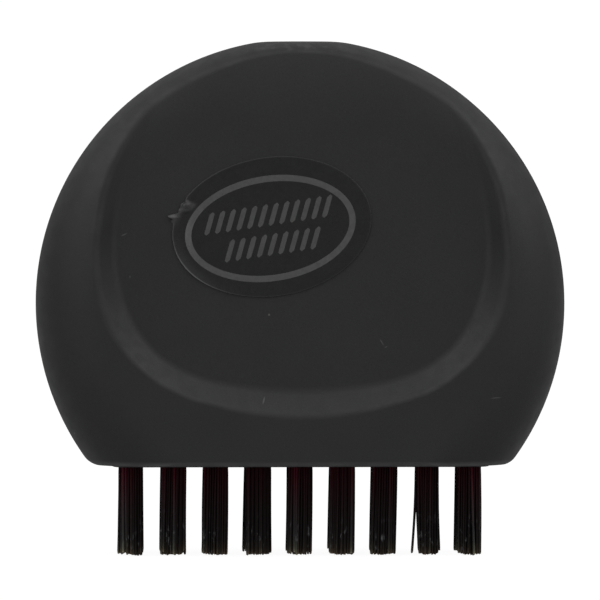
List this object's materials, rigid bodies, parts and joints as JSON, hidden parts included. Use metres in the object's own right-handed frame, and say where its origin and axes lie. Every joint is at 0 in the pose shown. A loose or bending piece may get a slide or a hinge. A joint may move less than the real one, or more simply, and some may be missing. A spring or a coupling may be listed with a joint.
{
  "type": "groove brush",
  "caption": "Round palm-held brush with a flat foot, thumb dishes on both faces and a short field of stiff bristles for cleaning the grooves of a golf club face.",
  "frame": {"origin": "middle of the plane the bristle tips stand on", "axes": "+Z from the bristle tips towards the crown of the handle, X along the rows of bristles, -Y towards the face that carries the label"},
  "size_m": [0.05, 0.015, 0.0483],
  "materials": {
    "handle_plastic": "fine spark-eroded texture, satin-matte charcoal black",
    "block_plastic": "plain moulded, satin-matte black",
    "bristle": "extruded nylon strands, brown-black with paler cut ends",
    "anchor_wire": "flat drawn wire",
    "label": "clear glossy film over the black floor, grey printed oval"
  },
  "bodies": {
    "handle": {"front_shell": "handle_plastic", "back_shell": "handle_plastic", "brush_block": "block_plastic", "label_film": "label", "front_root_1": "bristle", "front_root_2": "bristle", "front_root_3": "bristle", "front_root_4": "bristle", "front_root_5": "bristle", "front_root_6": "bristle", "front_root_7": "bristle", "front_root_8": "bristle", "front_root_9": "bristle", "back_root_1": "bristle", "back_root_2": "bristle", "back_root_3": "bristle", "back_root_4": "bristle", "back_root_5": "bristle", "back_root_6": "bristle", "back_root_7": "bristle", "back_root_8": "bristle", "back_root_9": "bristle", "front_anchor_1": "anchor_wire", "front_anchor_2": "anchor_wire", "front_anchor_3": "anchor_wire", "front_anchor_4": "anchor_wire", "front_anchor_5": "anchor_wire", "front_anchor_6": "anchor_wire", "front_anchor_7": "anchor_wire", "front_anchor_8": "anchor_wire", "front_anchor_9": "anchor_wire", "back_anchor_1": "anchor_wire", "back_anchor_2": "anchor_wire", "back_anchor_3": "anchor_wire", "back_anchor_4": "anchor_wire", "back_anchor_5": "anchor_wire", "back_anchor_6": "anchor_wire", "back_anchor_7": "anchor_wire", "back_anchor_8": "anchor_wire", "back_anchor_9": "anchor_wire"},
    "front_tuft_1": {"front_tuft_1": "bristle"},
    "front_tuft_2": {"front_tuft_2": "bristle"},
    "front_tuft_3": {"front_tuft_3": "bristle"},
    "front_tuft_4": {"front_tuft_4": "bristle"},
    "front_tuft_5": {"front_tuft_5": "bristle"},
    "front_tuft_6": {"front_tuft_6": "bristle"},
    "front_tuft_7": {"front_tuft_7": "bristle"},
    "front_tuft_8": {"front_tuft_8": "bristle"},
    "front_tuft_9": {"front_tuft_9": "bristle"},
    "back_tuft_1": {"back_tuft_1": "bristle"},
    "back_tuft_2": {"back_tuft_2": "bristle"},
    "back_tuft_3": {"back_tuft_3": "bristle"},
    "back_tuft_4": {"back_tuft_4": "bristle"},
    "back_tuft_5": {"back_tuft_5": "bristle"},
    "back_tuft_6": {"back_tuft_6": "bristle"},
    "back_tuft_7": {"back_tuft_7": "bristle"},
    "back_tuft_8": {"back_tuft_8": "bristle"},
    "back_tuft_9": {"back_tuft_9": "bristle"}
  },
  "joints": [
    {"name": "front_lean_1", "type": "hinge", "parent": "handle", "child": "front_tuft_1", "pos_m": [-0.016, -0.0025, 0.0083], "axis": [0, 1, 0], "range_deg": [-20, 20], "stiffness_Nm_per_rad": 0.0001},
    {"name": "front_lean_2", "type": "hinge", "parent": "handle", "child": "front_tuft_2", "pos_m": [-0.012, -0.0025, 0.0083], "axis": [0, 1, 0], "range_deg": [-20, 20], "stiffness_Nm_per_rad": 0.0001},
    {"name": "front_lean_3", "type": "hinge", "parent": "handle", "child": "front_tuft_3", "pos_m": [-0.008, -0.0025, 0.0083], "axis": [0, 1, 0], "range_deg": [-20, 20], "stiffness_Nm_per_rad": 0.0001},
    {"name": "front_lean_4", "type": "hinge", "parent": "handle", "child": "front_tuft_4", "pos_m": [-0.004, -0.0025, 0.0083], "axis": [0, 1, 0], "range_deg": [-20, 20], "stiffness_Nm_per_rad": 0.0001},
    {"name": "front_lean_5", "type": "hinge", "parent": "handle", "child": "front_tuft_5", "pos_m": [0, -0.0025, 0.0083], "axis": [0, 1, 0], "range_deg": [-20, 20], "stiffness_Nm_per_rad": 0.0001},
    {"name": "front_lean_6", "type": "hinge", "parent": "handle", "child": "front_tuft_6", "pos_m": [0.004, -0.0025, 0.0083], "axis": [0, 1, 0], "range_deg": [-20, 20], "stiffness_Nm_per_rad": 0.0001},
    {"name": "front_lean_7", "type": "hinge", "parent": "handle", "child": "front_tuft_7", "pos_m": [0.008, -0.0025, 0.0083], "axis": [0, 1, 0], "range_deg": [-20, 20], "stiffness_Nm_per_rad": 0.0001},
    {"name": "front_lean_8", "type": "hinge", "parent": "handle", "child": "front_tuft_8", "pos_m": [0.012, -0.0025, 0.0083], "axis": [0, 1, 0], "range_deg": [-20, 20], "stiffness_Nm_per_rad": 0.0001},
    {"name": "front_lean_9", "type": "hinge", "parent": "handle", "child": "front_tuft_9", "pos_m": [0.016, -0.0025, 0.0083], "axis": [0, 1, 0], "range_deg": [-20, 20], "stiffness_Nm_per_rad": 0.0001},
    {"name": "back_lean_1", "type": "hinge", "parent": "handle", "child": "back_tuft_1", "pos_m": [-0.016, 0.0025, 0.0083], "axis": [0, 1, 0], "range_deg": [-20, 20], "stiffness_Nm_per_rad": 0.0001},
    {"name": "back_lean_2", "type": "hinge", "parent": "handle", "child": "back_tuft_2", "pos_m": [-0.012, 0.0025, 0.0083], "axis": [0, 1, 0], "range_deg": [-20, 20], "stiffness_Nm_per_rad": 0.0001},
    {"name": "back_lean_3", "type": "hinge", "parent": "handle", "child": "back_tuft_3", "pos_m": [-0.008, 0.0025, 0.0083], "axis": [0, 1, 0], "range_deg": [-20, 20], "stiffness_Nm_per_rad": 0.0001},
    {"name": "back_lean_4", "type": "hinge", "parent": "handle", "child": "back_tuft_4", "pos_m": [-0.004, 0.0025, 0.0083], "axis": [0, 1, 0], "range_deg": [-20, 20], "stiffness_Nm_per_rad": 0.0001},
    {"name": "back_lean_5", "type": "hinge", "parent": "handle", "child": "back_tuft_5", "pos_m": [0, 0.0025, 0.0083], "axis": [0, 1, 0], "range_deg": [-20, 20], "stiffness_Nm_per_rad": 0.0001},
    {"name": "back_lean_6", "type": "hinge", "parent": "handle", "child": "back_tuft_6", "pos_m": [0.004, 0.0025, 0.0083], "axis": [0, 1, 0], "range_deg": [-20, 20], "stiffness_Nm_per_rad": 0.0001},
    {"name": "back_lean_7", "type": "hinge", "parent": "handle", "child": "back_tuft_7", "pos_m": [0.008, 0.0025, 0.0083], "axis": [0, 1, 0], "range_deg": [-20, 20], "stiffness_Nm_per_rad": 0.0001},
    {"name": "back_lean_8", "type": "hinge", "parent": "handle", "child": "back_tuft_8", "pos_m": [0.012, 0.0025, 0.0083], "axis": [0, 1, 0], "range_deg": [-20, 20], "stiffness_Nm_per_rad": 0.0001},
    {"name": "back_lean_9", "type": "hinge", "parent": "handle", "child": "back_tuft_9", "pos_m": [0.016, 0.0025, 0.0083], "axis": [0, 1, 0], "range_deg": [-20, 20], "stiffness_Nm_per_rad": 0.0001}
  ],
  "couplings": [
    {"joint": "front_lean_1", "follows": "front_lean_5", "ratio": 1},
    {"joint": "front_lean_2", "follows": "front_lean_5", "ratio": 1},
    {"joint": "front_lean_3", "follows": "front_lean_5", "ratio": 1},
    {"joint": "front_lean_4", "follows": "front_lean_5", "ratio": 1},
    {"joint": "front_lean_6", "follows": "front_lean_5", "ratio": 1},
    {"joint": "front_lean_7", "follows": "front_lean_5", "ratio": 1},
    {"joint": "front_lean_8", "follows": "front_lean_5", "ratio": 1},
    {"joint": "front_lean_9", "follows": "front_lean_5", "ratio": 1},
    {"joint": "back_lean_1", "follows": "front_lean_5", "ratio": 1},
    {"joint": "back_lean_2", "follows": "front_lean_5", "ratio": 1},
    {"joint": "back_lean_3", "follows": "front_lean_5", "ratio": 1},
    {"joint": "back_lean_4", "follows": "front_lean_5", "ratio": 1},
    {"joint": "back_lean_5", "follows": "front_lean_5", "ratio": 1},
    {"joint": "back_lean_6", "follows": "front_lean_5", "ratio": 1},
    {"joint": "back_lean_7", "follows": "front_lean_5", "ratio": 1},
    {"joint": "back_lean_8", "follows": "front_lean_5", "ratio": 1},
    {"joint": "back_lean_9", "follows": "front_lean_5", "ratio": 1}
  ]
}
